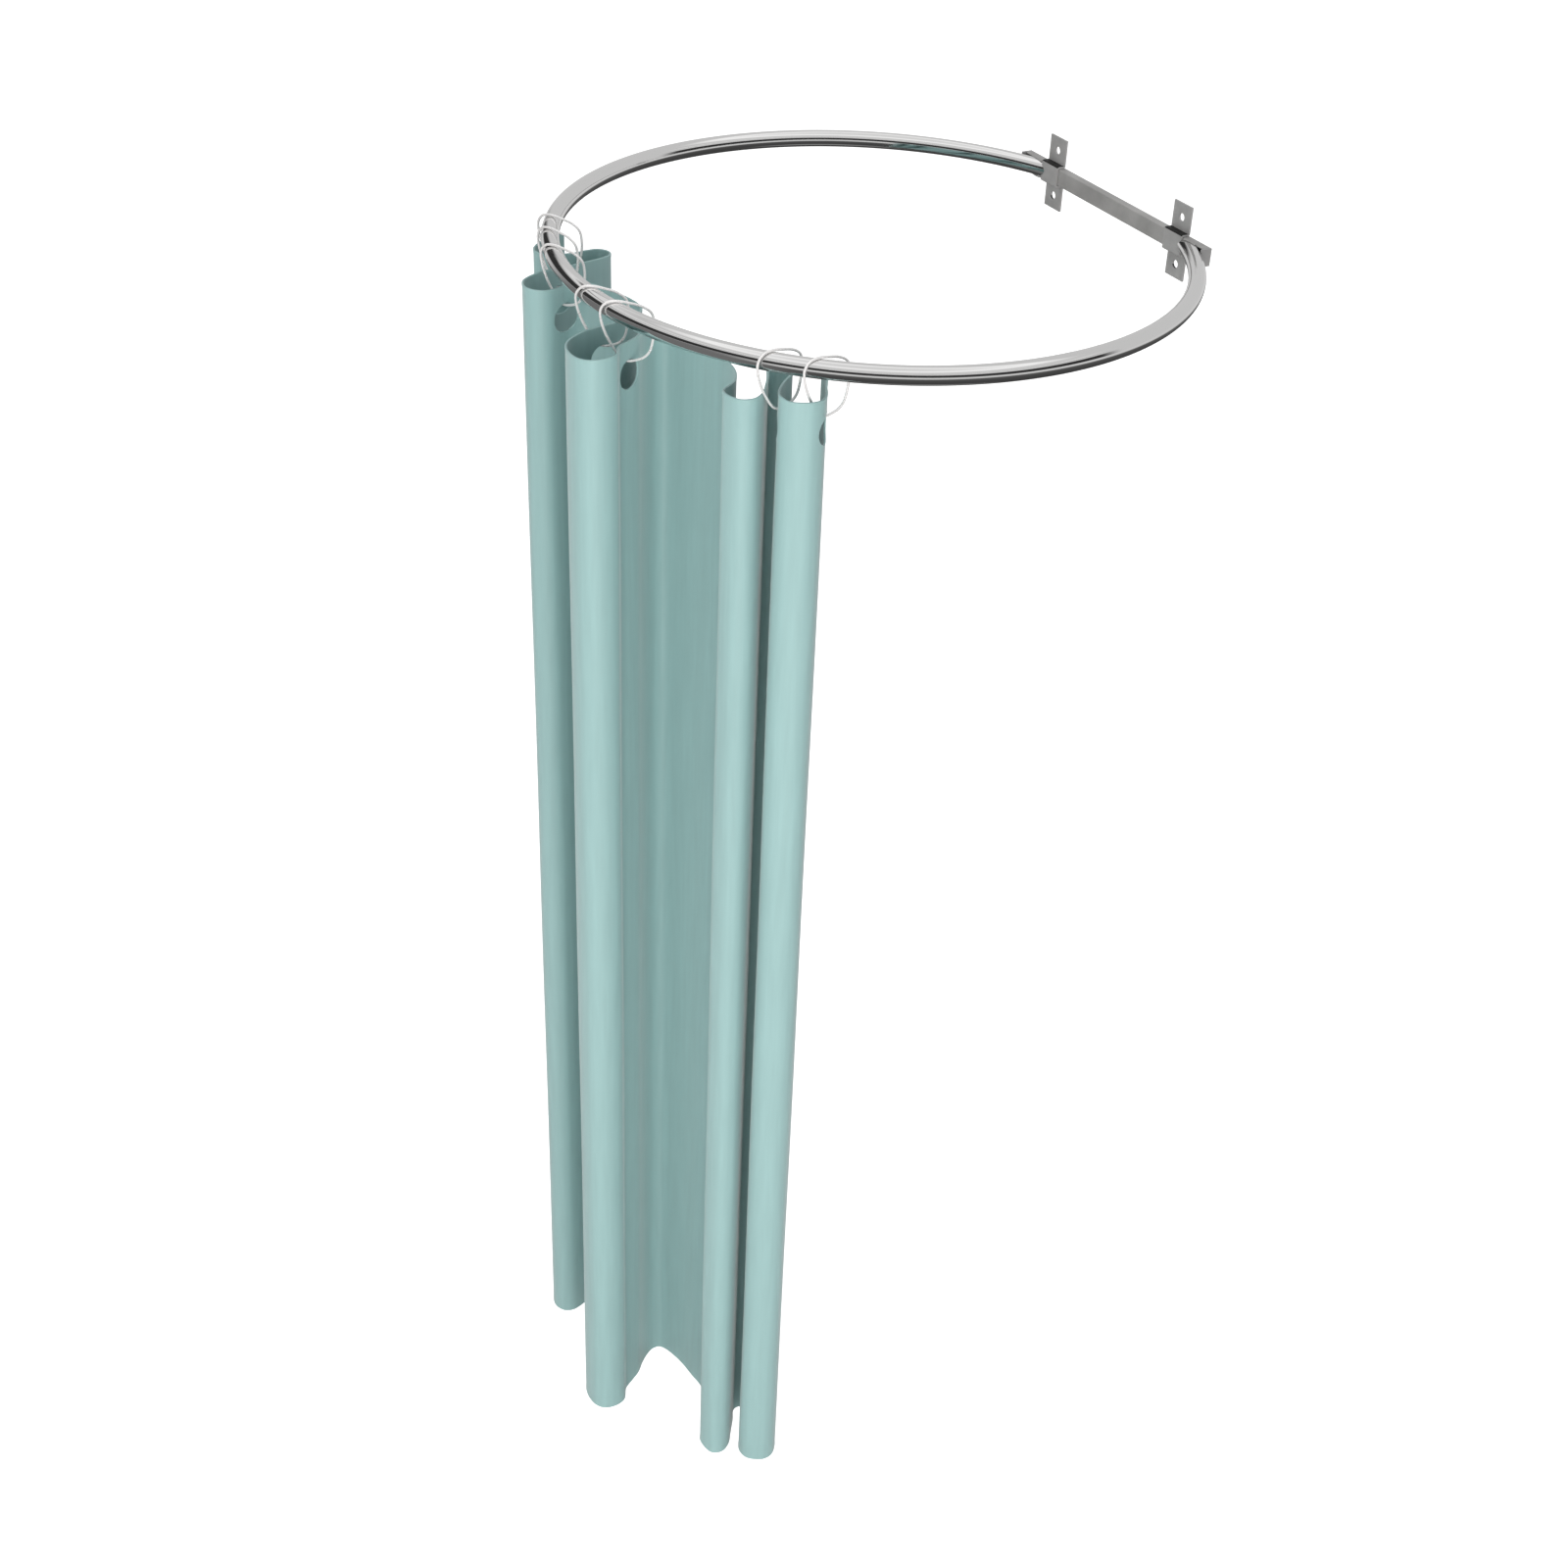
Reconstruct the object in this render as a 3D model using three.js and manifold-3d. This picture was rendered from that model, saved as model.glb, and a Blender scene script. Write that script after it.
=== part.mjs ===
import * as THREE from "three";
import { mergeVertices } from "three/addons/utils/BufferGeometryUtils.js";
import Module from "manifold-3d";

// Lengths are in millimetres. The wall is the plane y = 0, the room lies at -y,
// and z = 0 is the height of the rail's centreline.
const ringDiameter = 900;
const tubeDiameter = 25;
const tubeWall = 1.5;
const barLength = 450;
const barHeight = 26;
const barDepth = 12;
const barSheet = 2;
const barEndToWeb = 21;
const barEndToRail = 34.5;
const barEndToStrap = 71;
const barBendRadius = 2.5;
const endPlateThickness = 3;
const endPlateDepth = 18;
const endTabThickness = 2;
const endTabLap = 14;
const strapWidth = 40;
const strapHeight = 110;
const strapSheet = 3;
const strapBendRadius = 3.2;
const screwHoleSpacing = 70;
const screwHoleDiameter = 12;
const weldLength = 26;
const weldWidth = 2.4;
const wireDiameter = 3.5;
const hookWidth = 70.5;
const hookHeight = 80.6;
const curtainHeight = 1990;
const clothThickness = 2;
const clothHoleDiameter = 42;
const hemToHoleCentre = 46;
const clothHoleReach = 10;
const foldStep = 10;
const fitGap = 0.3;
const clothRestGap = 0.65;

// How finely the round shapes are cut.
const railSteps = 72;
const tubeSides = 16;
const boreSides = 12;
const hookStepsPerPoint = 3;
const wireSides = 8;
const bendSteps = 3;
const weldSteps = 8;
const holeSides = 24;

// The wire hook, seen across the rail. Across is a share of the hook's width, out of the ring;
// down is a share of its height, from where the wire sits on the rail.
const hookLoopShares = [
  [0, 0],
  [0.184, 0.032],
  [0.292, 0.15],
  [0.292, 0.323],
  [0.204, 0.571],
  [0.066, 0.794],
  [-0.07, 0.951],
  [-0.199, 1],
  [-0.34, 0.978],
  [-0.482, 0.925],
  [-0.588, 0.82],
  [-0.65, 0.6],
  [-0.672, 0.36],
  [-0.62, 0.165],
  [-0.46, 0.07],
  [-0.234, 0.024],
];

// How far each hook's plane is turned along the rail, and about where its hole comes along
// the cloth, from the left edge to the right edge.
const hookTurnDegrees = [25, 40, 42, 40, 42, 35, 45];
const hookPlaceShares = [0.075, 0.183, 0.273, 0.408, 0.541, 0.887, 0.95];

// The curtain seen from above, from its left edge to its right edge, in shares of the ring's
// radius about the ring's centre.
const foldShares = [
  [-0.633, -0.767],
  [-0.604, -0.849],
  [-0.576, -0.884],
  [-0.549, -0.906],
  [-0.52, -0.911],
  [-0.489, -0.889],
  [-0.471, -0.836],
  [-0.469, -0.793],
  [-0.48, -0.756],
  [-0.484, -0.722],
  [-0.462, -0.698],
  [-0.431, -0.702],
  [-0.404, -0.744],
  [-0.378, -0.867],
  [-0.36, -0.98],
  [-0.351, -1.013],
  [-0.329, -1.04],
  [-0.284, -1.056],
  [-0.255, -1.051],
  [-0.233, -1.036],
  [-0.222, -1.008],
  [-0.228, -0.975],
  [-0.242, -0.94],
  [-0.246, -0.902],
  [-0.226, -0.861],
  [-0.167, -0.824],
  [-0.1, -0.804],
  [0, -0.809],
  [0.049, -0.856],
  [0.073, -0.927],
  [0.084, -0.976],
  [0.096, -1.036],
  [0.116, -1.089],
  [0.147, -1.12],
  [0.2, -1.136],
  [0.257, -1.13],
  [0.286, -1.105],
  [0.294, -1.063],
  [0.281, -1.026],
  [0.234, -0.996],
  [0.208, -0.953],
  [0.184, -0.914],
  [0.147, -0.88],
  [0.118, -0.847],
  [0.1, -0.812],
  [0.104, -0.782],
  [0.127, -0.765],
  [0.178, -0.749],
  [0.238, -0.736],
  [0.298, -0.731],
  [0.362, -0.727],
  [0.458, -0.744],
  [0.533, -0.787],
  [0.584, -0.847],
  [0.627, -0.851],
  [0.667, -0.836],
  [0.678, -0.802],
  [0.658, -0.764],
  [0.618, -0.733],
  [0.567, -0.698],
  [0.522, -0.671],
  [0.516, -0.644],
  [0.533, -0.624],
  [0.56, -0.62],
  [0.589, -0.633],
  [0.627, -0.678],
  [0.673, -0.722],
  [0.707, -0.738],
  [0.744, -0.733],
  [0.769, -0.709],
  [0.784, -0.676],
  [0.778, -0.642],
  [0.747, -0.611],
  [0.711, -0.592],
  [0.653, -0.558],
  [0.6, -0.54],
];

// Where the cloth is parted between hooks, as shares of its length over the folds.
const partShares = [0.123, 0.231, 0.3385, 0.4665, 0.651, 0.9205];

const ringRadius = ringDiameter / 2;
const tubeRadius = tubeDiameter / 2;
const wireRadius = wireDiameter / 2;
const halfBar = barLength / 2;
const barFront = -barDepth - fitGap;
const landingX = halfBar - barEndToRail;
const ringCentreToFront = Math.sqrt(ringRadius * ringRadius - landingX * landingX);
const wallToRingCentre = ringCentreToFront - barFront;
const strapMiddle = halfBar - barEndToStrap;
const webHalfLength = halfBar - barEndToWeb;
const strapInside = barHeight / 2 + fitGap;
const strapFront = barFront - strapSheet;
const seatHeight = tubeRadius + fitGap + wireRadius;
const hookBottomShares = hookLoopShares.find((point) => point[1] === 1);
const hookBottomReach = -hookBottomShares[0] * hookWidth;
const hookBottomHeight = seatHeight - hookHeight;
const clothHoleHeight = hookBottomHeight + wireRadius + clothRestGap - clothHoleDiameter / 2;
const curtainTop = clothHoleHeight + hemToHoleCentre;
const curtainBottom = curtainTop - curtainHeight;
const ringCentre = new THREE.Vector3(0, -wallToRingCentre, 0);
const up = new THREE.Vector3(0, 0, 1);

const wasm = await Module();
wasm.setup();

const chrome = new THREE.MeshStandardMaterial({ color: 0xd4d6d8, metalness: 1, roughness: 0.12 });
const satinSteel = new THREE.MeshStandardMaterial({ color: 0x8c8c8c, metalness: 0.8, roughness: 0.45 });
const brightWire = new THREE.MeshStandardMaterial({ color: 0xe2e4e6, metalness: 1, roughness: 0.2 });
const paleTeal = new THREE.MeshStandardMaterial({ color: 0xa3c4c1, metalness: 0, roughness: 0.9 });

const room = new THREE.Group();
room.name = "fitting_room";

// A solid for joining and cutting, turned face out when its surface was wound inwards.
function solidOf(geometry) {
  const bare = geometry.clone();
  bare.deleteAttribute("normal");
  bare.deleteAttribute("uv");
  const merged = mergeVertices(bare);
  const vertProperties = new Float32Array(merged.attributes.position.array);
  const triVerts = new Uint32Array(merged.index.array);
  const solid = new wasm.Manifold(new wasm.Mesh({ numProp: 3, vertProperties, triVerts }));
  if (solid.volume() > 0) {
    return solid;
  }
  const turned = triVerts.slice().reverse();
  return new wasm.Manifold(new wasm.Mesh({ numProp: 3, vertProperties, triVerts: turned }));
}

function addPart(name, solid, material) {
  const cut = solid.getMesh();
  const geometry = new THREE.BufferGeometry();
  geometry.setAttribute("position", new THREE.BufferAttribute(cut.vertProperties, 3));
  geometry.setIndex(new THREE.BufferAttribute(cut.triVerts, 1));
  geometry.computeVertexNormals();
  const mesh = new THREE.Mesh(geometry, material);
  mesh.name = name;
  room.add(mesh);
}

function boxBetween(low, high) {
  const size = high.clone().sub(low);
  const geometry = new THREE.BoxGeometry(size.x, size.y, size.z);
  const middle = low.clone().add(high).multiplyScalar(0.5);
  geometry.translate(middle.x, middle.y, middle.z);
  return solidOf(geometry);
}

// A level round bar of the given radius from one point to another.
function pinBetween(from, to, radius) {
  const along = to.clone().sub(from);
  const geometry = new THREE.CylinderGeometry(radius, radius, along.length(), holeSides);
  along.normalize();
  geometry.applyMatrix4(new THREE.Matrix4().makeBasis(along.clone().cross(up), along, up));
  const middle = from.clone().add(to).multiplyScalar(0.5);
  geometry.translate(middle.x, middle.y, middle.z);
  return solidOf(geometry);
}

// A surface through rings of points, joined in a loop or closed with a cap at each end.
function sweptSolid(rings, looped) {
  const sides = rings[0].length;
  const positions = rings.flat().flatMap((point) => [point.x, point.y, point.z]);
  const bands = looped ? rings.length : rings.length - 1;
  const faces = [];
  for (let band = 0; band < bands; band += 1) {
    const here = band * sides;
    const there = ((band + 1) % rings.length) * sides;
    for (let side = 0; side < sides; side += 1) {
      const next = (side + 1) % sides;
      faces.push(here + side, here + next, there + next);
      faces.push(here + side, there + next, there + side);
    }
  }
  const last = (rings.length - 1) * sides;
  for (let side = 1; side < sides - 1 && !looped; side += 1) {
    faces.push(0, side + 1, side);
    faces.push(last, last + side, last + side + 1);
  }
  const geometry = new THREE.BufferGeometry();
  geometry.setAttribute("position", new THREE.Float32BufferAttribute(positions, 3));
  geometry.setIndex(faces);
  return solidOf(geometry);
}

// A ring of points round a centre, in the plane of two directions.
function circleAt(centre, across, over, radius, sides) {
  const points = [];
  for (let side = 0; side < sides; side += 1) {
    const angle = ((side + 0.5) / sides) * Math.PI * 2;
    const point = centre.clone();
    point.addScaledVector(across, Math.cos(angle) * radius);
    point.addScaledVector(over, Math.sin(angle) * radius);
    points.push(point);
  }
  return points;
}

function outwardAt(angle) {
  return new THREE.Vector3(Math.cos(angle), Math.sin(angle), 0);
}

// The rail's round, run past the bar at both ends so that the bar's face can cut it.
const railEndAngle = Math.asin(ringCentreToFront / (ringRadius - tubeRadius));
const railPastAngle = railEndAngle + tubeDiameter / ringRadius;

function railSolid(radius, sides) {
  const rings = [];
  const sweep = Math.PI + railPastAngle * 2;
  for (let step = 0; step <= railSteps; step += 1) {
    const outward = outwardAt(railPastAngle - (step / railSteps) * sweep);
    const centre = ringCentre.clone().addScaledVector(outward, ringRadius);
    rings.push(circleAt(centre, outward, up, radius, sides));
  }
  return sweptSolid(rings, false);
}

const railClearance = railSolid(tubeRadius + fitGap, tubeSides);

// Everything behind a plane y, over a given half width and half height.
function blockBehind(y, halfWidth, halfHeight) {
  const low = new THREE.Vector3(-halfWidth, y, -halfHeight);
  const high = new THREE.Vector3(halfWidth, ringRadius, halfHeight);
  return boxBetween(low, high);
}

// The chromed rail, hollow, mitred on the bar and stopped at the straps' outer edges.
const strapOuterEdge = strapMiddle + strapWidth / 2;
const barCut = blockBehind(barFront, ringRadius, tubeDiameter);
const strapCut = blockBehind(strapFront - fitGap, strapOuterEdge + fitGap, tubeDiameter);
const railOuter = railSolid(tubeRadius, tubeSides);
const railBore = railSolid(tubeRadius - tubeWall, boreSides);
addPart("rail_tube", railOuter.subtract(railBore).subtract(barCut).subtract(strapCut), chrome);

// A profile drawn as y and z, carried along x about a middle.
function carriedAlongX(outline, middle, width) {
  const shape = new THREE.Shape(outline);
  const geometry = new THREE.ExtrudeGeometry(shape, { depth: width, bevelEnabled: false });
  geometry.translate(0, 0, -width / 2);
  const toRoom = new THREE.Matrix4().makeBasis(new THREE.Vector3(0, 1, 0), up, new THREE.Vector3(1, 0, 0));
  geometry.applyMatrix4(toRoom);
  geometry.translate(middle, 0, 0);
  return solidOf(geometry);
}

// The points of a bend about a centre, from one angle to another in quarter turns.
function bend(centreY, centreZ, radius, fromQuarter, toQuarter) {
  const points = [];
  for (let step = 0; step <= bendSteps; step += 1) {
    const quarter = fromQuarter + ((toQuarter - fromQuarter) * step) / bendSteps;
    const angle = (quarter * Math.PI) / 2;
    const y = centreY + Math.cos(angle) * radius;
    const z = centreZ + Math.sin(angle) * radius;
    points.push(new THREE.Vector2(y, z));
  }
  return points;
}

function mirroredBelow(points) {
  return points.map((point) => new THREE.Vector2(point.x, -point.y)).reverse();
}

// The wall bar, a channel open to the wall, with its face cut back at both ends.
const barInsideRadius = barBendRadius - barSheet;
const bendY = -barDepth + barBendRadius;
const bendZ = barHeight / 2 - barBendRadius;
const barOuterHalf = [new THREE.Vector2(0, barHeight / 2)].concat(bend(bendY, bendZ, barBendRadius, 1, 2));
const barInnerHalf = bend(bendY, bendZ, barInsideRadius, 2, 1);
barInnerHalf.push(new THREE.Vector2(0, barHeight / 2 - barSheet));
const barOutline = barOuterHalf.concat(mirroredBelow(barOuterHalf), mirroredBelow(barInnerHalf), barInnerHalf);
const barBodyLength = barLength - (endPlateThickness + fitGap) * 2;
let wallBar = carriedAlongX(barOutline, 0, barBodyLength);
for (const side of [-1, 1]) {
  const slotHalfHeight = barHeight / 2 - barSheet;
  const slotEnds = [side * webHalfLength, side * barLength];
  const low = new THREE.Vector3(Math.min(...slotEnds), -barLength, -slotHalfHeight);
  const high = new THREE.Vector3(Math.max(...slotEnds), barLength, slotHalfHeight);
  wallBar = wallBar.subtract(boxBetween(low, high));
}
addPart("wall_bar", wallBar, satinSteel);

// The plates that close the bar's ends, notched to take the rail, each with a tab along the wall.
const tabHalfHeight = barHeight / 2 - barSheet - fitGap;

function endPlate(side) {
  const ends = [side * halfBar, side * (halfBar - endPlateThickness)];
  const low = new THREE.Vector3(Math.min(...ends), -endPlateDepth, -barHeight / 2);
  const high = new THREE.Vector3(Math.max(...ends), 0, barHeight / 2);
  const tabEnds = [side * halfBar, side * (webHalfLength - endTabLap)];
  const tabLow = new THREE.Vector3(Math.min(...tabEnds), -endTabThickness, -tabHalfHeight);
  const tabHigh = new THREE.Vector3(Math.max(...tabEnds), 0, tabHalfHeight);
  return boxBetween(low, high).subtract(railClearance).add(boxBetween(tabLow, tabHigh));
}
addPart("end_plate_left", endPlate(-1), satinSteel);
addPart("end_plate_right", endPlate(1), satinSteel);

// The hat-shaped straps: two screw ears on the wall, joined by a bridge over the bar.
const insideBend = strapBendRadius - strapSheet;
const crownY = strapFront + strapBendRadius;
const crownZ = strapInside + strapSheet - strapBendRadius;
const ankleY = -strapBendRadius;
const ankleZ = strapInside + strapBendRadius;
const strapOuterHalf = [new THREE.Vector2(-strapSheet, strapHeight / 2)].concat(
  bend(ankleY, ankleZ, insideBend, 0, -1),
  bend(crownY, crownZ, strapBendRadius, 1, 2),
);
const strapInnerHalf = bend(crownY, crownZ, insideBend, 2, 1).concat(
  bend(ankleY, ankleZ, strapBendRadius, -1, 0),
  [new THREE.Vector2(0, strapHeight / 2)],
);
const strapOutline = strapOuterHalf.concat(
  mirroredBelow(strapOuterHalf),
  mirroredBelow(strapInnerHalf),
  strapInnerHalf,
);

function wallStrap(side) {
  const middle = side * strapMiddle;
  let strap = carriedAlongX(strapOutline, middle, strapWidth);
  for (const level of [-1, 1]) {
    const from = new THREE.Vector3(middle, strapSheet, (level * screwHoleSpacing) / 2);
    const to = new THREE.Vector3(middle, -strapSheet * 2, (level * screwHoleSpacing) / 2);
    strap = strap.subtract(pinBetween(from, to, screwHoleDiameter / 2));
  }
  return strap;
}
addPart("wall_strap_left", wallStrap(-1), satinSteel);
addPart("wall_strap_right", wallStrap(1), satinSteel);

// The welds over and under the rail where it lands on the bar.
const landingHalfWidth = (tubeRadius * ringRadius) / landingX;

function weldBead(side, level) {
  const rings = [];
  for (let step = 0; step <= weldSteps; step += 1) {
    const along = (step / weldSteps - 0.5) * weldLength;
    const height = tubeRadius * Math.sqrt(1 - (along / landingHalfWidth) ** 2);
    const foot = new THREE.Vector3(side * (landingX + along), barFront - fitGap, level * height);
    const outer = foot.clone().add(new THREE.Vector3(0, 0, level * (fitGap + weldWidth)));
    const toe = foot.clone().add(new THREE.Vector3(0, -weldWidth / 4, level * (fitGap + weldWidth)));
    const crown = foot.clone().add(new THREE.Vector3(0, -weldWidth, level * (fitGap + weldWidth / 4)));
    const root = foot.clone().add(new THREE.Vector3(0, -weldWidth, -level * weldWidth));
    const heel = foot.clone().add(new THREE.Vector3(0, 0, -level * weldWidth));
    rings.push([heel, outer, toe, crown, root]);
  }
  return sweptSolid(rings, false).subtract(railClearance);
}
addPart("weld_left_upper", weldBead(-1, 1), satinSteel);
addPart("weld_left_lower", weldBead(-1, -1), satinSteel);
addPart("weld_right_upper", weldBead(1, 1), satinSteel);
addPart("weld_right_lower", weldBead(1, -1), satinSteel);

// The line of the cloth in plan, in even steps from its left edge.
const foldPoints = foldShares.map(([x, y]) => new THREE.Vector3(x * ringRadius, y * ringRadius, 0));
const foldCurve = new THREE.CatmullRomCurve3(foldPoints, false, "centripetal");
foldCurve.arcLengthDivisions = 2000;
const clothLength = foldCurve.getLength();

function clothPoint(length) {
  return foldCurve.getPointAt(length / clothLength).add(ringCentre);
}

function clothSide(length) {
  const along = foldCurve.getTangentAt(length / clothLength);
  return new THREE.Vector3(along.y, -along.x, 0);
}

// The length nearest to a given one at which the cloth crosses a circle about the ring's centre.
function crossingNear(wanted, radius) {
  const found = [];
  const tries = 4000;
  let before = clothPoint(0).distanceTo(ringCentre) - radius;
  for (let step = 1; step <= tries; step += 1) {
    const length = (step / tries) * clothLength;
    const now = clothPoint(length).distanceTo(ringCentre) - radius;
    if (now * before < 0) {
      found.push(length);
    }
    before = now;
  }
  found.sort((one, other) => Math.abs(one - wanted) - Math.abs(other - wanted));
  return found[0];
}

// Each hook's plane passes through its hole in the cloth.
const hooks = hookTurnDegrees.map((degrees, number) => {
  const turn = THREE.MathUtils.degToRad(degrees);
  const inwards = ringRadius - hookBottomReach * Math.cos(turn);
  const sideways = hookBottomReach * Math.sin(turn);
  const radius = Math.hypot(inwards, sideways);
  const length = crossingNear(hookPlaceShares[number] * clothLength, radius);
  const hole = clothPoint(length);
  const holeAngle = Math.atan2(hole.y - ringCentre.y, hole.x);
  const angle = holeAngle - Math.atan2(sideways, inwards);
  return { angle, turn, length };
});

function wireHook(hook) {
  const outward = outwardAt(hook.angle);
  const seat = ringCentre.clone().addScaledVector(outward, ringRadius);
  seat.z += seatHeight;
  const across = outwardAt(hook.angle - hook.turn);
  const square = across.clone().cross(up);
  const points = hookLoopShares.map(([out, down]) => {
    const point = seat.clone().addScaledVector(across, out * hookWidth);
    return point.addScaledVector(up, -down * hookHeight);
  });
  const curve = new THREE.CatmullRomCurve3(points, true, "centripetal");
  const steps = points.length * hookStepsPerPoint;
  const rings = [];
  for (let step = 0; step < steps; step += 1) {
    const share = step / steps;
    const over = curve.getTangent(share).cross(square);
    rings.push(circleAt(curve.getPoint(share), over, square, wireRadius, wireSides));
  }
  return sweptSolid(rings, true);
}

// A length of the hanging cloth, thickened about its line.
function clothBetween(from, to) {
  const steps = Math.max(2, Math.round((to - from) / foldStep));
  const front = [];
  const back = [];
  for (let step = 0; step <= steps; step += 1) {
    const length = from + ((to - from) * step) / steps;
    const middle = clothPoint(length);
    const side = clothSide(length);
    const outer = middle.clone().addScaledVector(side, clothThickness / 2);
    const inner = middle.clone().addScaledVector(side, -clothThickness / 2);
    front.push(new THREE.Vector2(outer.x, outer.y));
    back.push(new THREE.Vector2(inner.x, inner.y));
  }
  const shape = new THREE.Shape(front.concat(back.reverse()));
  const geometry = new THREE.ExtrudeGeometry(shape, { depth: curtainHeight, bevelEnabled: false });
  geometry.translate(0, 0, curtainBottom);
  return solidOf(geometry);
}

const parts = [0].concat(partShares, [1]);
hooks.forEach((hook, number) => {
  const from = parts[number] * clothLength + (number === 0 ? 0 : fitGap / 2);
  const to = parts[number + 1] * clothLength - (number === hooks.length - 1 ? 0 : fitGap / 2);
  const hole = clothPoint(hook.length).addScaledVector(up, clothHoleHeight);
  const side = clothSide(hook.length);
  const cutFrom = hole.clone().addScaledVector(side, -clothHoleReach);
  const cutTo = hole.clone().addScaledVector(side, clothHoleReach);
  const holeCut = pinBetween(cutFrom, cutTo, clothHoleDiameter / 2);
  addPart("hook_" + (number + 1), wireHook(hook), brightWire);
  addPart("curtain_" + (number + 1), clothBetween(from, to).subtract(holeCut), paleTeal);
});

export default room;
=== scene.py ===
"""The looks of a portable fitting room: a round chromed rail on a wall bracket, with a hanging curtain."""

import math

import bmesh
import bpy
import numpy as np
from mathutils import Matrix


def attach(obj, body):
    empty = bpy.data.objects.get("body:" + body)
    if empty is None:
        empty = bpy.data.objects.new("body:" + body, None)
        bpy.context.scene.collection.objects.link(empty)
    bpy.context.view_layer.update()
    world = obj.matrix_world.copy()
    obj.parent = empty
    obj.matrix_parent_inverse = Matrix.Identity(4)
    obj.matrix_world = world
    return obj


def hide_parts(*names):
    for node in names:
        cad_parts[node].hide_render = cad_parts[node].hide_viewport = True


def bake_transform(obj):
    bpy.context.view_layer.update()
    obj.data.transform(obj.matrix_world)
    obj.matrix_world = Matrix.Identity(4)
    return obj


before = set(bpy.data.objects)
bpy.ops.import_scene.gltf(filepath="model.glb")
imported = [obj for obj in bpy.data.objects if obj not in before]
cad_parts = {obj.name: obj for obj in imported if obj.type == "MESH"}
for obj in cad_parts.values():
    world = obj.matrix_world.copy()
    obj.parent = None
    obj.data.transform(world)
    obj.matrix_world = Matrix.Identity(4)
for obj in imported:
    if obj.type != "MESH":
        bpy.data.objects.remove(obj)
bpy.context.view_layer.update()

# Sizes in metres, the same as the part's. The wall is y = 0 and z = 0 is the rail's centreline.
RING_RADIUS = 0.45
TUBE_RADIUS = 0.0125
TUBE_WALL = 0.0015
BAR_HALF = 0.225
BAR_DEPTH = 0.012
BAR_END_TO_RAIL = 0.0345
BAR_END_TO_STRAP = 0.071
STRAP_WIDTH = 0.04
STRAP_SHEET = 0.003
WIRE_RADIUS = 0.00175
HOOK_WIDTH = 0.0705
HOOK_HEIGHT = 0.0806
CLOTH_LENGTH = 1.99
CLOTH_HALF = 0.001
HOLE_RADIUS = 0.021
HOLE_DEPTH = 0.046
FIT_GAP = 0.0003
CLOTH_REST_GAP = 0.00065

# The places that follow from those sizes, as in the part, with the ring's centre to a micrometre.
BAR_FRONT_Y = -BAR_DEPTH - FIT_GAP
STRAP_FRONT_Y = BAR_FRONT_Y - STRAP_SHEET - FIT_GAP
STRAP_EDGE_X = BAR_HALF - BAR_END_TO_STRAP + STRAP_WIDTH / 2 + FIT_GAP
LANDING_X = BAR_HALF - BAR_END_TO_RAIL
RING_CENTRE_Y = round(BAR_FRONT_Y - math.sqrt(RING_RADIUS**2 - LANDING_X**2), 6)
SEAT_HEIGHT = TUBE_RADIUS + FIT_GAP + WIRE_RADIUS
HOLE_HEIGHT = SEAT_HEIGHT - HOOK_HEIGHT + WIRE_RADIUS + CLOTH_REST_GAP - HOLE_RADIUS
CLOTH_TOP = HOLE_HEIGHT + HOLE_DEPTH

# Each hook's angle round the ring, how far its plane is turned along the rail, and where its hole
# comes along the cloth, all from the curtain's left edge to its right edge as in the part.
HOOK_ANGLES = (-119.954, -113.574, -105.432, -86.276, -78.894, -48.176, -40.552)
HOOK_TURNS = (25, 40, 42, 40, 42, 35, 45)
HOLE_SHARES = (0.07425, 0.18225, 0.27425, 0.4135, 0.54775, 0.89325, 0.95325)

# The wire hook across the rail: shares of its width out of the ring, and of its height down.
HOOK_LOOP_SHARES = (
    (0, 0), (0.184, 0.032), (0.292, 0.15), (0.292, 0.323), (0.204, 0.571),
    (0.066, 0.794), (-0.07, 0.951), (-0.199, 1), (-0.34, 0.978), (-0.482, 0.925),
    (-0.588, 0.82), (-0.65, 0.6), (-0.672, 0.36), (-0.62, 0.165), (-0.46, 0.07),
    (-0.234, 0.024),
)

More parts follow.
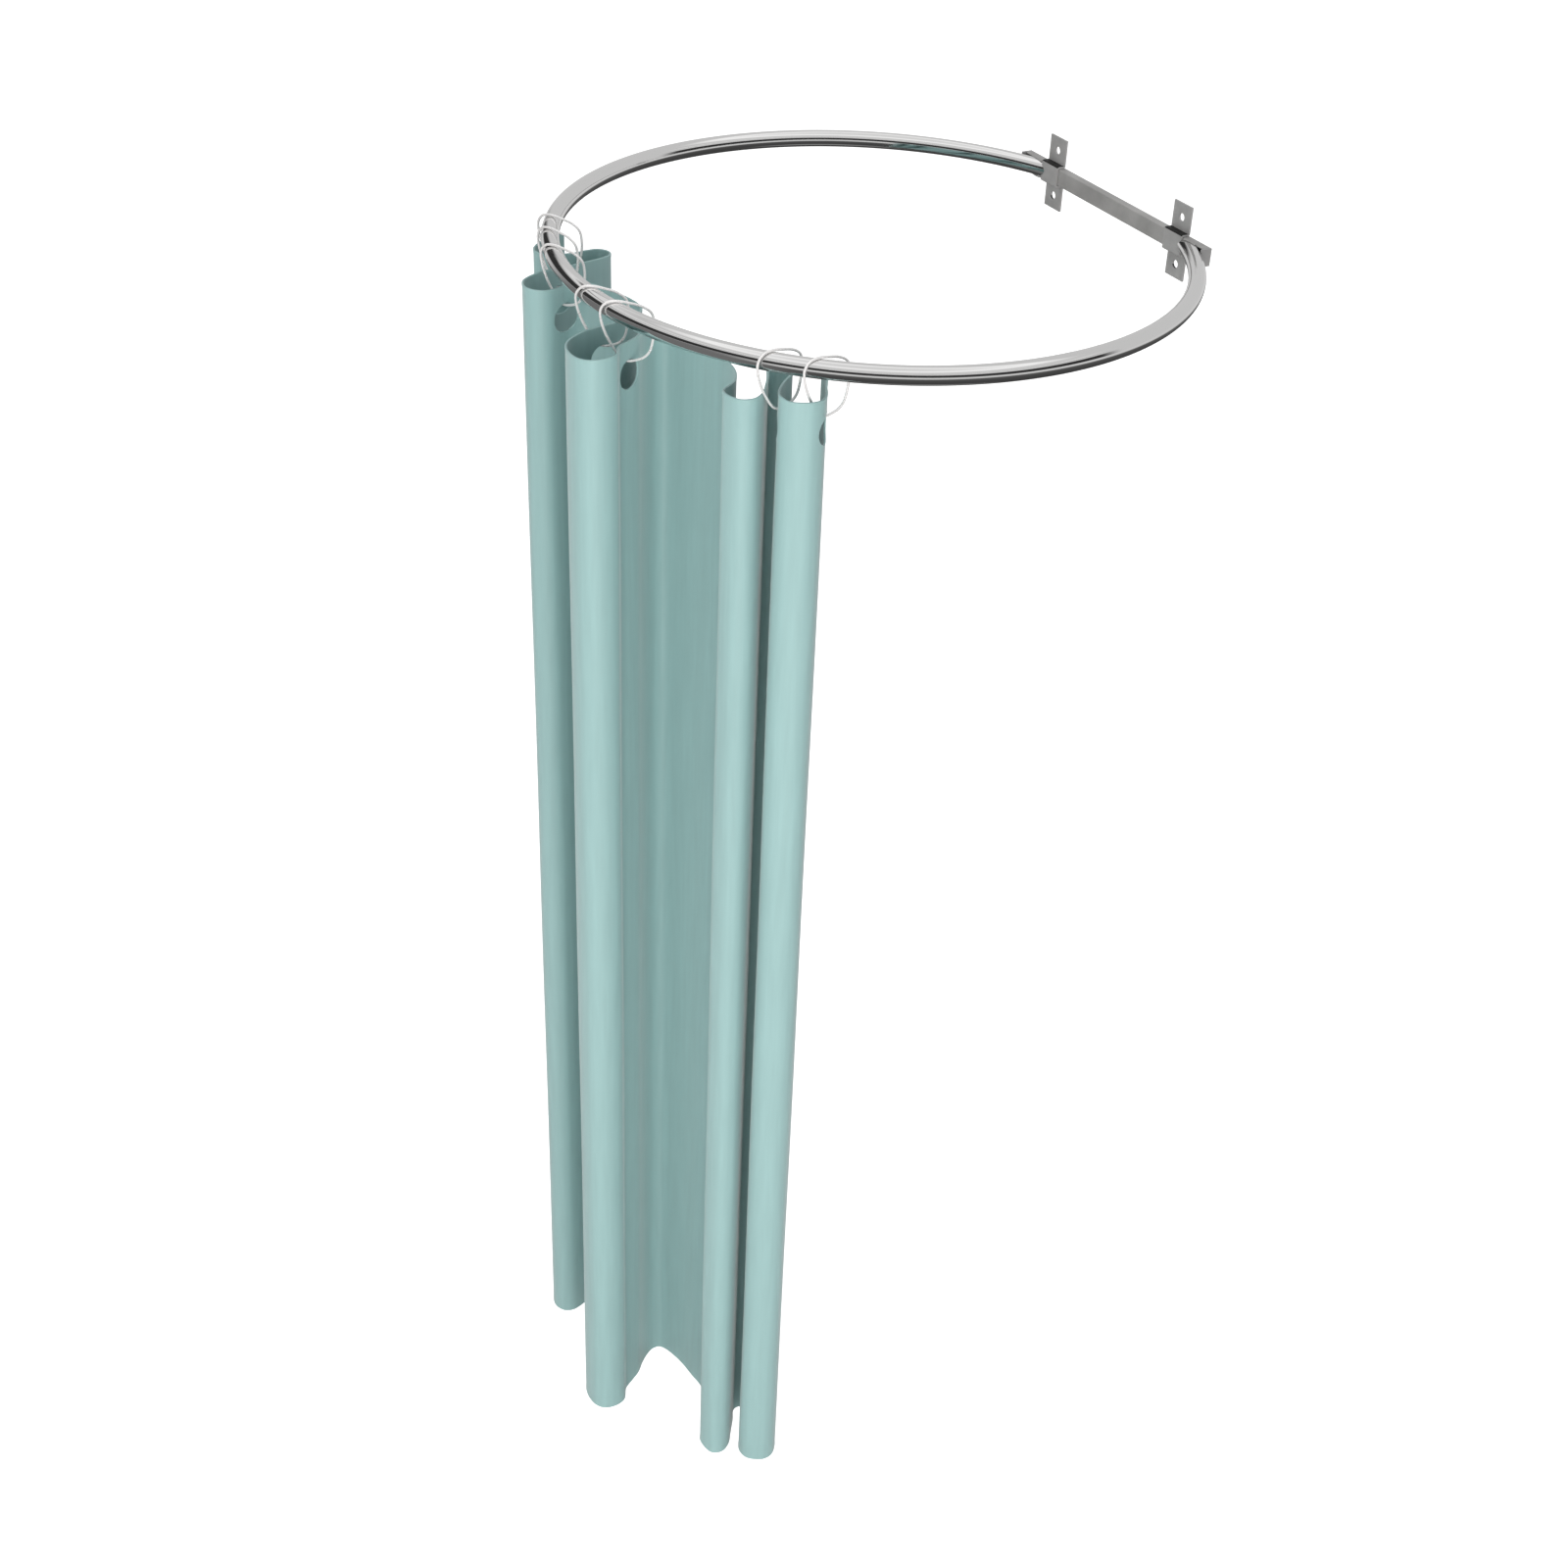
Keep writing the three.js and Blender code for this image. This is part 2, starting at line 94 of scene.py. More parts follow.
# The curtain from above, in shares of the ring's radius about its centre.
FOLD_SHARES = (
    (-0.633, -0.767), (-0.604, -0.849), (-0.576, -0.884), (-0.549, -0.906), (-0.52, -0.911),
    (-0.489, -0.889), (-0.471, -0.836), (-0.469, -0.793), (-0.48, -0.756), (-0.484, -0.722),
    (-0.462, -0.698), (-0.431, -0.702), (-0.404, -0.744), (-0.378, -0.867), (-0.36, -0.98),
    (-0.351, -1.013), (-0.329, -1.04), (-0.284, -1.056), (-0.255, -1.051), (-0.233, -1.036),
    (-0.222, -1.008), (-0.228, -0.975), (-0.242, -0.94), (-0.246, -0.902), (-0.226, -0.861),
    (-0.167, -0.824), (-0.1, -0.804), (0, -0.809), (0.049, -0.856), (0.073, -0.927),
    (0.084, -0.976), (0.096, -1.036), (0.116, -1.089), (0.147, -1.12), (0.2, -1.136),
    (0.257, -1.13), (0.286, -1.105), (0.294, -1.063), (0.281, -1.026), (0.234, -0.996),
    (0.208, -0.953), (0.184, -0.914), (0.147, -0.88), (0.118, -0.847), (0.1, -0.812),
    (0.104, -0.782), (0.127, -0.765), (0.178, -0.749), (0.238, -0.736), (0.298, -0.731),
    (0.362, -0.727), (0.458, -0.744), (0.533, -0.787), (0.584, -0.847), (0.627, -0.851),
    (0.667, -0.836), (0.678, -0.802), (0.658, -0.764), (0.618, -0.733), (0.567, -0.698),
    (0.522, -0.671), (0.516, -0.644), (0.533, -0.624), (0.56, -0.62), (0.589, -0.633),
    (0.627, -0.678), (0.673, -0.722), (0.707, -0.738), (0.744, -0.733), (0.769, -0.709),
    (0.784, -0.676), (0.778, -0.642), (0.747, -0.611), (0.711, -0.592), (0.653, -0.558),
    (0.6, -0.54),
)

# What the cloth has beyond the part's: thicker hems, a top hem that sags between hooks that stand
# far apart, a lower hem that rises towards the left edge, and a faint waver.
HEM_LIP = 0.0004
HEM_WIDTH = 0.005
LIP_SLOPE = 2.5
RIM_LIP_FADE = 1.6
CROWN_SHARE = 0.7
SAG_CLEAR = 0.03
SAG_SHARE = 0.024
SAG_SKEW = 0.6
SAG_FADE = 0.7
HEM_RISE = 0.024
RISE_SHARE = 0.95
WAVER_DEPTH = 0.0006
WAVER_ALONG = 61
WAVER_LEAN = 3.1
WAVER_DOWN = 4.3
WAVER_START = 0.7

# How a width of cloth meets the next, and the square window of cells round its hole.
SEAM_CLEAR = 0.0025
SEAM_PAST_WINDOW = 0.002
WINDOW_MARGIN = 0.007
HOLE_WINDOW = HOLE_RADIUS + WINDOW_MARGIN
WINDOW_CELLS = 16
WINDOW_PITCH = 2 * HOLE_WINDOW / WINDOW_CELLS
WINDOW_SHARES = (0.4, 0.7, 0.86, 0.95, 1)

# How finely the shapes are cut.
RAIL_SIDES = 48
RAIL_STEPS = 240
RAIL_EDGE_DEGREES = 40
WIRE_SIDES = 12
HOOK_STEPS = 10
FOLD_STEPS = 60
SLOPE_STEP = 0.0015
COLUMN_STEP = 0.004
MIDDLE_ROWS = 70
TOP_ROWS = (0, -0.001, -0.0025, -0.004, -0.006, -0.011)
BOTTOM_ROWS = (0.006, 0.004, 0.0025, 0.001, 0)
HELD_POINTS = 12
BLEND_TURN_DEGREES = 3
LEAST_LENGTH = 1e-9

# The steel's painted shade, dark where shade falls: an axis, the side of a limit along it, and the way the
# surface faces.
# Painted shade on the strap's shelf over the bar, where its bend lies in shade.
STRAP_SHELF_PAINTED_SHADE = ("Z", "LESS_THAN", 0.02, "GREATER_THAN", 0.35)
# Painted shade on the end tab's front, in the shade inside the bar's end.
TAB_FRONT_PAINTED_SHADE = ("Y", "GREATER_THAN", -0.0025, "LESS_THAN", -0.5)
PAINTED_SHADE_LEVEL = 0.012

# The metals' finish: smears on the polished ones, and on the sheet steel a fine grain, soft patches
# and rounded edges. Edges here are the noise levels between which a look changes.
NOISE_EDGES = (0.3, 0.7)
SMEAR_EDGES = (0.35, 0.7)
SMEAR_SCALE = 60
SMEAR_DETAIL = 4
SMEAR_SHARES = (0.7, 1.5)
GRAIN_SCALE = 420
GRAIN_DETAIL = 5
GRAIN_ROUGHNESS = (0.42, 0.56)
GRAIN_STRENGTH = 0.12
GRAIN_DEPTH = 0.0004
PATCH_SCALE = 26
PATCH_DETAIL = 3
PATCH_SHARES = (0.86, 1.12)
EDGE_ROUNDING = 0.0006
EDGE_SAMPLES = 6

# The cloth's finish: crossed threads as relief, and upright slubs in its tone.
THREAD_SCALE = 230
THREAD_DISTORTION = 0.6
THREAD_DETAIL = 1
THREAD_STRENGTH = 0.25
THREAD_DEPTH = 0.0003
SLUB_STRETCH = (14, 0.8, 1)
SLUB_SCALE = 9
SLUB_DETAIL = 6
SLUB_SHARES = (0.96, 1.04)

# The camera, fitted to the photograph.
LENS = 50.43
SENSOR = 36
SHIFT = (-0.0943, -0.0029)
CAMERA_PLACE = (2.4955, -2.0237, 1.0994)
CAMERA_RIGHT = (0.53813, 0.83964, 0.07371)
CAMERA_UP = (-0.50382, 0.25033, 0.82674)
CAMERA_BACK = (0.67572, -0.48203, 0.55773)
CAMERA_REACH = 100

# The floor: how far below the cloth it lies, how bright it looks, and the painted reflection of it that
# the metal mirrors, as grey levels by distance, dark nearer the object as painted shade and lighter
# further off, with a painted pool of light on one side.
FLOOR_GAP = 0.12
FLOOR_REACH = 40
FLOOR_LEVEL = 0.8
FLOOR_GLOW = 0.55
FLOOR_DISTANCES = (2.1, 12)
PAINTED_FLOOR_REFLECTION_BANDS = ((0, 0.4), (0.012, 0.05), (0.2, 0.08), (0.42, 0.14), (0.5, 0.55), (1, 0.65))
POOL_FROM = (-0.42, -0.91, 0)
POOL_SIDES = (0.5, 0.9)
POOL_DISTANCES = (1.2, 1.9)
PAINTED_LIGHT_POOL_LEVEL = 0.16

# The air: the soft light on the dark and on the bright side, and what the metal mirrors, as grey
# levels by height, with a plain side.
LIGHT_FROM = (0.3, -0.95, -0.08)
LIGHT_EDGES = (-0.3, 0.5)
SOFT_LIGHT = (0.78, 0.98)
PLAIN_SIDE = (-0.37, 0.93, 0)
PLAIN_EDGES = (0.6, 0.45)
SIDE_GREY = 0.6
SKY_BANDS = (
    (0, 0.3), (0.03, 0.03), (0.38, 0.03), (0.44, 0.6), (0.52, 0.8), (0.555, 0.12), (0.59, 0.8),
    (0.75, 0.55), (0.88, 1), (1, 0.7),
)

# The lamps: name, place, aim, width and power.
LAMPS = (
    ("key", (1.9, -4.1, 0.2), (0, -0.45, -0.9), 2.4, 45),
    ("fill", (3.3, -2.3, -0.9), (0, -0.45, -0.9), 2.4, 77),
    ("top", (0.3, -0.9, 2.6), (0, -0.45, 0), 1.6, 8),
)
LAMP_COLOUR = (1, 0.94, 0.91)

# The sockets of a Mix node, by number because their names repeat.
MIX_FACTOR = 0
MIX_LEVELS = (2, 3)
MIX_COLOURS = (6, 7)
MIXED_LEVEL = 0
MIXED_COLOUR = 2


def new_mesh(name, vertices, faces, smooth=True):
    mesh = bpy.data.meshes.new(name)
    mesh.from_pydata([tuple(vertex) for vertex in vertices], [], [tuple(face) for face in faces])
    mesh.update()
    if smooth:
        mesh.polygons.foreach_set("use_smooth", [True] * len(mesh.polygons))
    obj = bpy.data.objects.new(name, mesh)
    bpy.context.scene.collection.objects.link(obj)
    return obj


def new_material(name):
    material = bpy.data.materials.new(name)
    material.use_nodes = True
    tree = material.node_tree
    return material, tree, tree.nodes["Principled BSDF"]


def fill_in(tree, made, inputs):
    """Gives a node's inputs a value each, or a link where the value is another node's socket."""
    for key, value in inputs.items():
        if isinstance(value, bpy.types.NodeSocket):
            tree.links.new(value, made.inputs[key])
        else:
            made.inputs[key].default_value = value


def node(tree, kind, inputs, **settings):
    made = tree.nodes.new(kind)
    for key, value in settings.items():
        setattr(made, key, value)
    fill_in(tree, made, inputs)
    return made


def place_of(tree, kind):
    """The place on the surface, as Object, UV or Generated coordinates."""
    return node(tree, "ShaderNodeTexCoord", {}).outputs[kind]


def noise(tree, place, scale, detail):
    made = node(tree, "ShaderNodeTexNoise", {"Vector": place, "Scale": scale, "Detail": detail})
    return made.outputs["Fac"]


def number_math(tree, operation, first, second):
    return node(tree, "ShaderNodeMath", {0: first, 1: second}, operation=operation).outputs["Value"]


def towards(tree, vector, direction):
    made = node(tree, "ShaderNodeVectorMath", {0: vector, 1: direction}, operation="DOT_PRODUCT")
    return made.outputs["Value"]


def length_of(tree, vector):
    return node(tree, "ShaderNodeVectorMath", {0: vector}, operation="LENGTH").outputs["Value"]


def eased(tree, value, edges, levels=(0, 1)):
    """A smooth rise from one level to another, between two edges of a value."""
    inputs = {"Value": value, "From Min": edges[0], "From Max": edges[1]}
    inputs.update({"To Min": levels[0], "To Max": levels[1]})
    return node(tree, "ShaderNodeMapRange", inputs, interpolation_type="SMOOTHSTEP").outputs["Result"]


def grey(level):
    return (level, level, level)


def greys(bands):
    return [(place, grey(level)) for place, level in bands]


def tones(colour, shares):
    """Darker and lighter tones of a colour, each by its share of it."""
    return [tuple(level * share for level in colour) for share in shares]


def ramp(tree, factor, stops):
    """A colour ramp through stops, each a place along it and a colour."""
    made = node(tree, "ShaderNodeValToRGB", {"Fac": factor})
    elements = made.color_ramp.elements
    stops = list(stops)
    while len(elements) < len(stops):
        elements.new(0.5)
    for element, (place, colour) in zip(elements, stops):
        element.position = place
        element.color = (*colour, 1)
    return made.outputs["Color"]


def mixed(tree, factor, first, second):
    """A colour between two, each given as a colour or as a socket."""
    ends = [(*end, 1) if isinstance(end, tuple) else end for end in (first, second)]
    inputs = {MIX_FACTOR: factor, MIX_COLOURS[0]: ends[0], MIX_COLOURS[1]: ends[1]}
    return node(tree, "ShaderNodeMix", inputs, data_type="RGBA").outputs[MIXED_COLOUR]


def marked(tree, place, axis, side, limit, facing, slope):
    """1 where the surface lies on one side of a limit along an axis and faces one way along it."""
    normal = node(tree, "ShaderNodeNewGeometry", {}).outputs["True Normal"]
    found = []
    for source, test, value in ((place, side, limit), (normal, facing, slope)):
        parts = node(tree, "ShaderNodeSeparateXYZ", {"Vector": source})
        found.append(number_math(tree, test, parts.outputs[axis], value))
    return number_math(tree, "MULTIPLY", *found)


def chrome_material(name, colour, roughness, metallic=1):
    """Polished metal whose smears are a little smoother or rougher."""
    material, tree, principled = new_material(name)
    smears = noise(tree, place_of(tree, "Object"), SMEAR_SCALE, SMEAR_DETAIL)
    spread = ramp(tree, smears, zip(SMEAR_EDGES, tones(grey(roughness), SMEAR_SHARES)))
    inputs = {"Metallic": metallic, "Base Color": (*colour, 1), "Roughness": spread}
    fill_in(tree, principled, inputs)
    return material


def satin_material(name, colour, painted_shade_place=None):
    """Bare sheet steel with soft patches, a fine grain, slightly rounded edges, and painted shade where a
    dark place is given.
    """
    material, tree, principled = new_material(name)
    place = place_of(tree, "Object")
    grain = noise(tree, place, GRAIN_SCALE, GRAIN_DETAIL)
    patches = noise(tree, place, PATCH_SCALE, PATCH_DETAIL)
    tone = ramp(tree, patches, zip(NOISE_EDGES, tones(colour, PATCH_SHARES)))
    if painted_shade_place:
        # Painted shade: the marked place is darkened to near black, where shade falls on it.
        tone = mixed(tree, marked(tree, place, *painted_shade_place), tone, grey(PAINTED_SHADE_LEVEL))
    rough = ramp(tree, grain, greys(zip(NOISE_EDGES, GRAIN_ROUGHNESS)))
    rounded = node(tree, "ShaderNodeBevel", {"Radius": EDGE_ROUNDING}, samples=EDGE_SAMPLES)
    relief = {
        "Strength": GRAIN_STRENGTH,
        "Distance": GRAIN_DEPTH,
        "Height": grain,
        "Normal": rounded.outputs["Normal"],
    }
    bump = node(tree, "ShaderNodeBump", relief).outputs["Normal"]
    inputs = {"Metallic": 0.55, "Base Color": tone, "Roughness": rough, "Normal": bump}
    fill_in(tree, principled, inputs)
    return material


def cloth_material(name, colour):
    """Plain woven cloth: crossed threads as relief, and faint upright slubs in its tone."""
    material, tree, principled = new_material(name)
    place = place_of(tree, "UV")
    threads = []
    for quarter_turn in (0, math.pi / 2):
        turn = node(tree, "ShaderNodeMapping", {"Vector": place, "Rotation": (0, 0, quarter_turn)})
        inputs = {
            "Vector": turn.outputs["Vector"],
            "Scale": THREAD_SCALE,
            "Distortion": THREAD_DISTORTION,
            "Detail": THREAD_DETAIL,
        }
        wave = node(tree, "ShaderNodeTexWave", inputs, wave_type="BANDS", bands_direction="X")
        threads.append(wave.outputs["Fac"])
    weave = number_math(tree, "MULTIPLY", *threads)
    stretch = node(tree, "ShaderNodeMapping", {"Vector": place, "Scale": SLUB_STRETCH})
    slubs = noise(tree, stretch.outputs["Vector"], SLUB_SCALE, SLUB_DETAIL)
    tone = ramp(tree, slubs, zip(NOISE_EDGES, tones(colour, SLUB_SHARES)))
    relief = {"Strength": THREAD_STRENGTH, "Distance": THREAD_DEPTH, "Height": weave}
    bump = node(tree, "ShaderNodeBump", relief)
    inputs = {
        "Base Color": tone,
        "Roughness": 0.44,
        "Specular IOR Level": 0.7,
        "Sheen Weight": 0.32,
        "Sheen Roughness": 0.4,
        "Normal": bump.outputs["Normal"],
    }
    fill_in(tree, principled, inputs)
    return material


CHROME = chrome_material("polished_chrome", (0.87, 0.865, 0.86), roughness=0.07)
WIRE = chrome_material("bright_wire", (0.86, 0.86, 0.86), roughness=0.3, metallic=0.45)
SATIN = satin_material("satin_steel", (0.42, 0.418, 0.412))
# The strap and end steels carry painted shade in their dark places.
STRAP = satin_material("strap_steel", (0.46, 0.46, 0.458), STRAP_SHELF_PAINTED_SHADE)
END = satin_material("end_steel", (0.4, 0.4, 0.4), TAB_FRONT_PAINTED_SHADE)
CLOTH = cloth_material("teal_cloth", (0.236, 0.385, 0.383))


def curve_through(points, closed, steps):
    """Points on the same centripetal curve that the part's source draws."""
    points = np.asarray(points, float)
    count = len(points)
    found = []
    for span in range(count if closed else count - 1):
        start = points[span]
        end = points[(span + 1) % count]
        before = points[span - 1] if closed or span > 0 else 2 * points[0] - points[1]
        after = points[(span + 2) % count] if closed or span + 2 < count else 2 * points[-1] - points[-2]
        gap_before = np.linalg.norm(start - before) ** 0.5
        gap = np.linalg.norm(end - start) ** 0.5
        gap_after = np.linalg.norm(after - end) ** 0.5
        leave = (start - before) / gap_before - (end - before) / (gap_before + gap) + (end - start) / gap
        arrive = (end - start) / gap - (after - start) / (gap + gap_after) + (after - end) / gap_after
        leave = leave * gap
        arrive = arrive * gap
        share = np.arange(steps)[:, None] / steps
        line = start + leave * share
        line = line + (3 * (end - start) - 2 * leave - arrive) * share**2
        line = line + (2 * (start - end) + leave + arrive) * share**3
        found.append(line)
    if not closed:
        found.append(points[-1:])
    return np.concatenate(found)


# The cloth's line in plan, by its length from the left edge, and where its holes come.
FOLD_LINE = curve_through(np.array(FOLD_SHARES) * RING_RADIUS, False, FOLD_STEPS)
FOLD_LINE = FOLD_LINE + [0, RING_CENTRE_Y]
FOLD_LENGTHS = np.concatenate([[0], np.cumsum(np.linalg.norm(np.diff(FOLD_LINE, axis=0), axis=1))])
CLOTH_WIDTH = FOLD_LENGTHS[-1]
HOLES = [share * CLOTH_WIDTH for share in HOLE_SHARES]

# The cloth's rows, as heights below its top hem: even across the window, fine at both hems.
WINDOW_ROWS = [HOLE_WINDOW - HOLE_DEPTH - WINDOW_PITCH * row for row in range(WINDOW_CELLS + 1)]
LOW_ROWS = [step - CLOTH_LENGTH for step in BOTTOM_ROWS]
PLAIN_ROWS = np.linspace(WINDOW_ROWS[-1], LOW_ROWS[0], MIDDLE_ROWS)[1:-1]
ROWS = np.array([*TOP_ROWS, *WINDOW_ROWS, *PLAIN_ROWS, *LOW_ROWS])


def point_at(lengths):
    lengths = np.clip(lengths, 0, CLOTH_WIDTH)
    xs = np.interp(lengths, FOLD_LENGTHS, FOLD_LINE[:, 0])
    ys = np.interp(lengths, FOLD_LENGTHS, FOLD_LINE[:, 1])
    return np.stack([xs, ys], axis=-1)


def plan_at(lengths):
    """Plan points and outward normals at lengths along the cloth."""
    lengths = np.asarray(lengths, float)
    along = point_at(lengths + SLOPE_STEP) - point_at(lengths - SLOPE_STEP)
    along /= np.linalg.norm(along, axis=-1, keepdims=True)
    normal = np.stack([along[..., 1], -along[..., 0]], axis=-1)
    return point_at(lengths), normal


def facing_out(obj):
    shape = bmesh.new()
    shape.from_mesh(obj.data)
    bmesh.ops.recalc_face_normals(shape, faces=shape.faces)
    shape.to_mesh(obj.data)
    shape.free()
    return obj


def rail_end_angle(reach):
    """Where the rail stops at a distance from the ring's centre: on the bar, or at the strap's edge."""
    at_bar = math.asin((BAR_FRONT_Y - RING_CENTRE_Y) / reach)
    at_strap = math.asin((STRAP_FRONT_Y - RING_CENTRE_Y) / reach)
    at_edge = math.acos(STRAP_EDGE_X / reach)
    return min(at_bar, max(at_strap, at_edge))


def rail_points():
    """The tube's outer surface and then its bore, as lines along the ring."""
    points = []
    for radius in (TUBE_RADIUS, TUBE_RADIUS - TUBE_WALL):
        for side in range(RAIL_SIDES):
            turn = side / RAIL_SIDES * 2 * math.pi
            reach = RING_RADIUS + radius * math.cos(turn)
            height = radius * math.sin(turn)
            end = rail_end_angle(reach)
            for step in range(RAIL_STEPS + 1):
                angle = end - step / RAIL_STEPS * (math.pi + 2 * end)
                x = reach * math.cos(angle)
                y = RING_CENTRE_Y + reach * math.sin(angle)
                points.append((x, y, height))
    return points


def rail_faces():
    """The faces of both surfaces, and the rings that close the tube's wall at each end."""
    line = RAIL_STEPS + 1
    bore = RAIL_SIDES * line
    faces = []
    for side in range(RAIL_SIDES):
        here = side * line
        there = (side + 1) % RAIL_SIDES * line
        for step in range(RAIL_STEPS):
            first = here + step
            second = there + step
            faces.append((first, second, second + 1, first + 1))
            faces.append((bore + first, bore + first + 1, bore + second + 1, bore + second))
        faces.append((here, bore + here, bore + there, there))
        first = here + RAIL_STEPS
        second = there + RAIL_STEPS
        faces.append((second, bore + second, bore + first, first))
    return faces


def rail():
    """The rail's tube, hollow, with both ends cut to the bar's face and the straps' edges."""
    obj = facing_out(new_mesh("rail_chrome_tube", rail_points(), rail_faces()))
    edges = obj.modifiers.new("edges", "EDGE_SPLIT")
    edges.split_angle = math.radians(RAIL_EDGE_DEGREES)
    obj.data.materials.append(CHROME)
    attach(obj, "rail")
    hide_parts("rail_tube")


def closed_wire(line, firsts, seconds):
    """A round wire along a closed line, given two directions square to it at each point."""
    angles = (np.arange(WIRE_SIDES) + 0.5) / WIRE_SIDES * 2 * math.pi
    round_about = firsts[:, None] * np.cos(angles)[None, :, None]
    round_about = round_about + seconds[:, None] * np.sin(angles)[None, :, None]
    points = line[:, None] + round_about * WIRE_RADIUS
    count = len(line)
    faces = []
    for ring in range(count):
        here = ring * WIRE_SIDES
        there = (ring + 1) % count * WIRE_SIDES
        for side in range(WIRE_SIDES):
            over = (side + 1) % WIRE_SIDES
            faces.append((here + side, here + over, there + over, there + side))
    return points.reshape(-1, 3), faces


def wire_hook(number):
    """One bent wire hook, closed round the rail and through its hole."""
    angle = math.radians(HOOK_ANGLES[number])
    turned = angle - math.radians(HOOK_TURNS[number])
    outward = np.array([math.cos(angle), math.sin(angle), 0])
    across = np.array([math.cos(turned), math.sin(turned), 0])
    square = np.array([math.sin(turned), -math.cos(turned), 0])
    up = np.array([0, 0, 1.0])
    seat = np.array([0, RING_CENTRE_Y, SEAT_HEIGHT]) + outward * RING_RADIUS
    loop = [seat + across * out * HOOK_WIDTH - up * down * HOOK_HEIGHT for out, down in HOOK_LOOP_SHARES]
    line = curve_through(loop, True, HOOK_STEPS)
    along = np.roll(line, -1, axis=0) - np.roll(line, 1, axis=0)
    along /= np.linalg.norm(along, axis=1, keepdims=True)
    vertices, faces = closed_wire(line, np.cross(along, square), np.tile(square, (len(line), 1)))
    obj = facing_out(new_mesh(f"wire_hook_{number + 1}", vertices, faces))
    obj.data.materials.append(WIRE)
    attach(obj, f"hanger_{number + 1}")
    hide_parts(f"hook_{number + 1}")


def edge_lip(distance):
    """How much the doubled hem thickens the cloth, by the distance from its edge."""
    share = np.clip(1 - np.asarray(distance, float) / HEM_WIDTH, 0, 1)
    return HEM_LIP * np.minimum(1, share * LIP_SLOPE)


def hem_sag(lengths, heights):
    """How far the top hem drops between two hooks that stand far apart, fading out down the cloth."""
    drop = np.zeros(len(lengths))
    for first, second in zip(HOLES[:-1], HOLES[1:]):
        share = np.clip((lengths - first - SAG_CLEAR) / (second - first - 2 * SAG_CLEAR), 0, 1)
        reach = SAG_SHARE * max(0, second - first - 2 * SAG_CLEAR)
        drop += reach * np.sin(share**SAG_SKEW * math.pi) ** 2
    fade = np.clip(1 + heights / SAG_FADE, 0, 1)
    return drop * fade**2 * (3 - 2 * fade)


def blend_line(left, hole, right):
    """Two points on a clear line from the width's left seam towards its hole: where a blend towards its
    second hook would begin and end.
    """
    start, _ = plan_at([left])
    held, _ = plan_at(np.linspace(hole - HOLE_RADIUS, right, HELD_POINTS))
    turns = np.radians(np.arange(0, 360, BLEND_TURN_DEGREES))
    ways = np.column_stack([np.cos(turns), np.sin(turns)])
    gaps = ((held - start) @ ways.T).min(axis=0)
    best = int(np.argmax(gaps))
    begin = start[0] + ways[best] * SEAM_CLEAR
    end = start[0] + ways[best] * (gaps[best] - SEAM_CLEAR)
    return (*begin, 0), (*end, 0)


def even_columns(start, end):
    return list(np.linspace(start, end, max(2, round((end - start) / COLUMN_STEP))))


def panel_columns(left, hole, right):
    """Where a width's columns stand along the cloth: even across its hole's window."""
    if hole is None:
        return np.array(even_columns(left, right))
    window = hole - HOLE_WINDOW
    columns = even_columns(left, window)
    columns += [window + WINDOW_PITCH * (step + 1) for step in range(WINDOW_CELLS)]
    return np.array(columns + even_columns(columns[-1], right)[1:])


def window_edge(columns, hole):
    """The cells of a hole's window, and its square edge as steps of column and row."""
    first = int(np.argmin(abs(columns - (hole - HOLE_WINDOW))))
    top = len(TOP_ROWS)
    last = first + WINDOW_CELLS
    bottom = top + WINDOW_CELLS
    steps = range(WINDOW_CELLS)
    cells = {(first + across, top + down) for across in steps for down in steps}
    edge = [(first + step, top) for step in steps]
    edge += [(last, top + step) for step in steps]
    edge += [(last - step, bottom) for step in steps]
    edge += [(first, bottom - step) for step in steps]
    return cells, edge


def window_rings(flat, outer, hole):
    """Rings from a window's square edge in to the hole: points, how each thickens, faces and rim."""
    start = len(flat)
    border = flat[outer] - [hole, -HOLE_DEPTH]
    rounded = border / np.linalg.norm(border, axis=1, keepdims=True) * HOLE_RADIUS
    points = []
    lips = []
    faces = []
    previous = outer
    for share in WINDOW_SHARES:
        blended = border * (1 - share) + rounded * share
        points.append(blended + [hole, -HOLE_DEPTH])
        lips.append(edge_lip((np.linalg.norm(blended, axis=1) - HOLE_RADIUS) * RIM_LIP_FADE))
        here = list(range(start, start + len(outer)))
        for this in range(len(outer)):
            following = (this + 1) % len(outer)
            faces.append((previous[this], previous[following], here[following], here[this]))
        start += len(outer)
        previous = here
    return points, lips, faces, (previous + previous[:1])[::-1]


